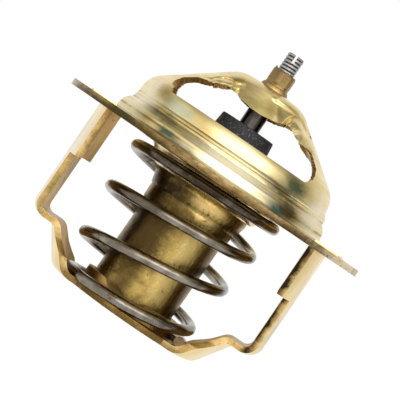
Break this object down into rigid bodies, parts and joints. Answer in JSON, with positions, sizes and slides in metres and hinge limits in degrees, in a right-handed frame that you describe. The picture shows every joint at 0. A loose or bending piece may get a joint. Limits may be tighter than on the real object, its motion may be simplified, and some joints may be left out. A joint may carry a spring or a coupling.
{
  "type": "engine thermostat",
  "caption": "Wax-type engine thermostat: round brass flange, windowed dome with slotted adjusting screw, sprung valve plate on a wax element, and a stirrup below.",
  "frame": {"origin": "on the valve's axis, in the middle of the flange's thickness", "axes": "+Z along the axis towards the adjusting screw, +X towards one arm of the stirrup, windows towards +Y and -Y"},
  "size_m": [0.0564, 0.0564, 0.0515],
  "materials": {
    "sheet_brass": "bright rolled",
    "turned_brass": "turned, slightly dull",
    "valve_brass": "rolled",
    "guide_brass": "turned, aged",
    "case_brass": "drawn, aged and rubbed",
    "bright_steel": "bright machined",
    "ground_steel": "ground",
    "spring_steel": "drawn wire",
    "grey_rubber": "moulded matte",
    "black_rubber": "moulded matte",
    "white_polymer": "matte",
    "wax": "waxy",
    "gel": "soft"
  },
  "bodies": {
    "frame": {"upper_frame": "sheet_brass", "lower_frame": "sheet_brass", "adjusting_nut": "turned_brass", "adjusting_screw": "bright_steel", "piston_rod": "ground_steel", "rubber_plunger": "black_rubber", "backup_disc": "white_polymer", "main_spring": "spring_steel"},
    "valve": {"valve_plate": "valve_brass", "element_guide": "guide_brass", "element_case": "case_brass", "wax_fill": "wax", "diaphragm": "black_rubber", "transfer_gel": "gel", "piston_boot": "grey_rubber", "snap_ring": "bright_steel"}
  },
  "joints": [
    {"name": "valve_lift", "type": "slide", "parent": "frame", "child": "valve", "axis": [0, 0, -1], "range_m": [0, 0.0075], "stiffness_N_per_m": 3100, "springref_m": -0.018, "deforming": ["main_spring"]}
  ]
}
